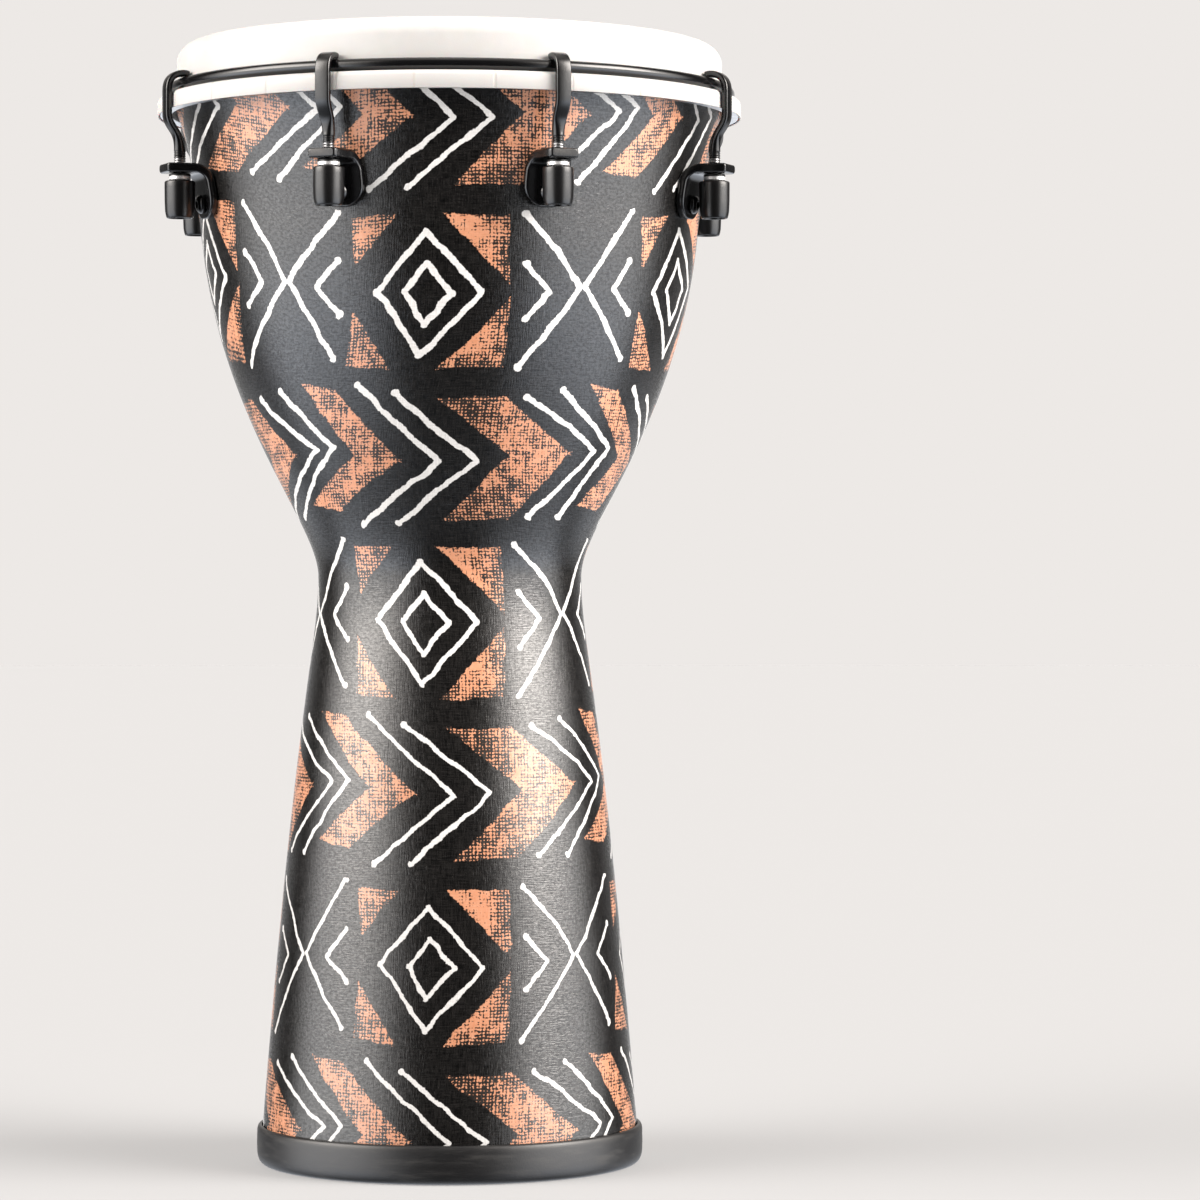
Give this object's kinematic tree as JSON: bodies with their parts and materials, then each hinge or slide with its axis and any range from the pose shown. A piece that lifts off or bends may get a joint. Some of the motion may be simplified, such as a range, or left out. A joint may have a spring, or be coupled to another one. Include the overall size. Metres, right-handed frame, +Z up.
{
  "type": "djembe",
  "caption": "Goblet-shaped hand drum with a printed cloth wrap, white synthetic head, round-rod counterhoop, hook-and-nut tuning lugs and a rubber foot ring.",
  "frame": {"origin": "centre of the foot ring's underside, on the surface the drum stands on", "axes": "+Z up the drum's axis towards the playing head; -Y is the front, midway between two tuning lugs; +X to the right seen from the front"},
  "size_m": [0.2684, 0.2684, 0.513],
  "materials": {
    "shell": "moulded wood-fibre shell, bare and matte on the inside",
    "printed_cloth": "charcoal woven cloth with hand-drawn style white lines and terracotta areas, under clear satin varnish",
    "foot_rubber": "black, satin",
    "head_film": "smooth white coated film",
    "hoop_aluminium": "mill finish, hidden",
    "black_steel": "gloss black powder coat",
    "hook_steel": "gloss black, with bright bare thread on the rod",
    "nut_steel": "satin black sleeve",
    "bright_zinc": "bright plated"
  },
  "bodies": {
    "shell": {"shell": "shell", "fabric_wrap": "printed_cloth", "foot_ring": "foot_rubber", "tuning_bracket_1": "black_steel", "tuning_bracket_2": "black_steel", "tuning_bracket_3": "black_steel", "tuning_bracket_4": "black_steel", "tuning_bracket_5": "black_steel", "tuning_bracket_6": "black_steel", "tuning_bracket_7": "black_steel", "tuning_bracket_8": "black_steel", "nut_washer_1": "bright_zinc", "nut_washer_2": "bright_zinc", "nut_washer_3": "bright_zinc", "nut_washer_4": "bright_zinc", "nut_washer_5": "bright_zinc", "nut_washer_6": "bright_zinc", "nut_washer_7": "bright_zinc", "nut_washer_8": "bright_zinc", "bracket_bolt_1": "black_steel", "bracket_bolt_2": "black_steel", "bracket_bolt_3": "black_steel", "bracket_bolt_4": "black_steel", "bracket_bolt_5": "black_steel", "bracket_bolt_6": "black_steel", "bracket_bolt_7": "black_steel", "bracket_bolt_8": "black_steel", "inner_lock_nut_1": "bright_zinc", "inner_lock_nut_2": "bright_zinc", "inner_lock_nut_3": "bright_zinc", "inner_lock_nut_4": "bright_zinc", "inner_lock_nut_5": "bright_zinc", "inner_lock_nut_6": "bright_zinc", "inner_lock_nut_7": "bright_zinc", "inner_lock_nut_8": "bright_zinc"},
    "head": {"drumhead_film": "head_film", "flesh_hoop": "hoop_aluminium", "counterhoop": "black_steel"},
    "hook_1": {"tension_hook_1": "hook_steel"},
    "hook_2": {"tension_hook_2": "hook_steel"},
    "hook_3": {"tension_hook_3": "hook_steel"},
    "hook_4": {"tension_hook_4": "hook_steel"},
    "hook_5": {"tension_hook_5": "hook_steel"},
    "hook_6": {"tension_hook_6": "hook_steel"},
    "hook_7": {"tension_hook_7": "hook_steel"},
    "hook_8": {"tension_hook_8": "hook_steel"},
    "nut_1": {"tuning_nut_1": "nut_steel"},
    "nut_2": {"tuning_nut_2": "nut_steel"},
    "nut_3": {"tuning_nut_3": "nut_steel"},
    "nut_4": {"tuning_nut_4": "nut_steel"},
    "nut_5": {"tuning_nut_5": "nut_steel"},
    "nut_6": {"tuning_nut_6": "nut_steel"},
    "nut_7": {"tuning_nut_7": "nut_steel"},
    "nut_8": {"tuning_nut_8": "nut_steel"}
  },
  "joints": [
    {"name": "head_slide", "type": "slide", "parent": "shell", "child": "head", "axis": [0, 0, 1], "range_m": [0, 0.005]},
    {"name": "hook_1_slide", "type": "slide", "parent": "shell", "child": "hook_1", "axis": [0, 0, 1], "range_m": [0, 0.005]},
    {"name": "hook_2_slide", "type": "slide", "parent": "shell", "child": "hook_2", "axis": [0, 0, 1], "range_m": [0, 0.005]},
    {"name": "hook_3_slide", "type": "slide", "parent": "shell", "child": "hook_3", "axis": [0, 0, 1], "range_m": [0, 0.005]},
    {"name": "hook_4_slide", "type": "slide", "parent": "shell", "child": "hook_4", "axis": [0, 0, 1], "range_m": [0, 0.005]},
    {"name": "hook_5_slide", "type": "slide", "parent": "shell", "child": "hook_5", "axis": [0, 0, 1], "range_m": [0, 0.005]},
    {"name": "hook_6_slide", "type": "slide", "parent": "shell", "child": "hook_6", "axis": [0, 0, 1], "range_m": [0, 0.005]},
    {"name": "hook_7_slide", "type": "slide", "parent": "shell", "child": "hook_7", "axis": [0, 0, 1], "range_m": [0, 0.005]},
    {"name": "hook_8_slide", "type": "slide", "parent": "shell", "child": "hook_8", "axis": [0, 0, 1], "range_m": [0, 0.005]},
    {"name": "nut_1_turn", "type": "hinge", "parent": "shell", "child": "nut_1", "pos_m": [0.04983, -0.12029, 0.439], "axis": [0, 0, 1], "range_deg": [-1702, 0]},
    {"name": "nut_2_turn", "type": "hinge", "parent": "shell", "child": "nut_2", "pos_m": [0.12029, -0.04983, 0.439], "axis": [0, 0, 1], "range_deg": [-1702, 0]},
    {"name": "nut_3_turn", "type": "hinge", "parent": "shell", "child": "nut_3", "pos_m": [0.12029, 0.04983, 0.439], "axis": [0, 0, 1], "range_deg": [-1702, 0]},
    {"name": "nut_4_turn", "type": "hinge", "parent": "shell", "child": "nut_4", "pos_m": [0.04983, 0.12029, 0.439], "axis": [0, 0, 1], "range_deg": [-1702, 0]},
    {"name": "nut_5_turn", "type": "hinge", "parent": "shell", "child": "nut_5", "pos_m": [-0.04983, 0.12029, 0.439], "axis": [0, 0, 1], "range_deg": [-1702, 0]},
    {"name": "nut_6_turn", "type": "hinge", "parent": "shell", "child": "nut_6", "pos_m": [-0.12029, 0.04983, 0.439], "axis": [0, 0, 1], "range_deg": [-1702, 0]},
    {"name": "nut_7_turn", "type": "hinge", "parent": "shell", "child": "nut_7", "pos_m": [-0.12029, -0.04983, 0.439], "axis": [0, 0, 1], "range_deg": [-1702, 0]},
    {"name": "nut_8_turn", "type": "hinge", "parent": "shell", "child": "nut_8", "pos_m": [-0.04983, -0.12029, 0.439], "axis": [0, 0, 1], "range_deg": [-1702, 0]}
  ],
  "couplings": [
    {"joint": "hook_1_slide", "follows": "head_slide", "ratio": 1},
    {"joint": "hook_2_slide", "follows": "head_slide", "ratio": 1},
    {"joint": "hook_3_slide", "follows": "head_slide", "ratio": 1},
    {"joint": "hook_4_slide", "follows": "head_slide", "ratio": 1},
    {"joint": "hook_5_slide", "follows": "head_slide", "ratio": 1},
    {"joint": "hook_6_slide", "follows": "head_slide", "ratio": 1},
    {"joint": "hook_7_slide", "follows": "head_slide", "ratio": 1},
    {"joint": "hook_8_slide", "follows": "head_slide", "ratio": 1},
    {"joint": "nut_1_turn", "follows": "head_slide", "rad_per_m": -5937.1},
    {"joint": "nut_2_turn", "follows": "head_slide", "rad_per_m": -5937.1},
    {"joint": "nut_3_turn", "follows": "head_slide", "rad_per_m": -5937.1},
    {"joint": "nut_4_turn", "follows": "head_slide", "rad_per_m": -5937.1},
    {"joint": "nut_5_turn", "follows": "head_slide", "rad_per_m": -5937.1},
    {"joint": "nut_6_turn", "follows": "head_slide", "rad_per_m": -5937.1},
    {"joint": "nut_7_turn", "follows": "head_slide", "rad_per_m": -5937.1},
    {"joint": "nut_8_turn", "follows": "head_slide", "rad_per_m": -5937.1}
  ]
}
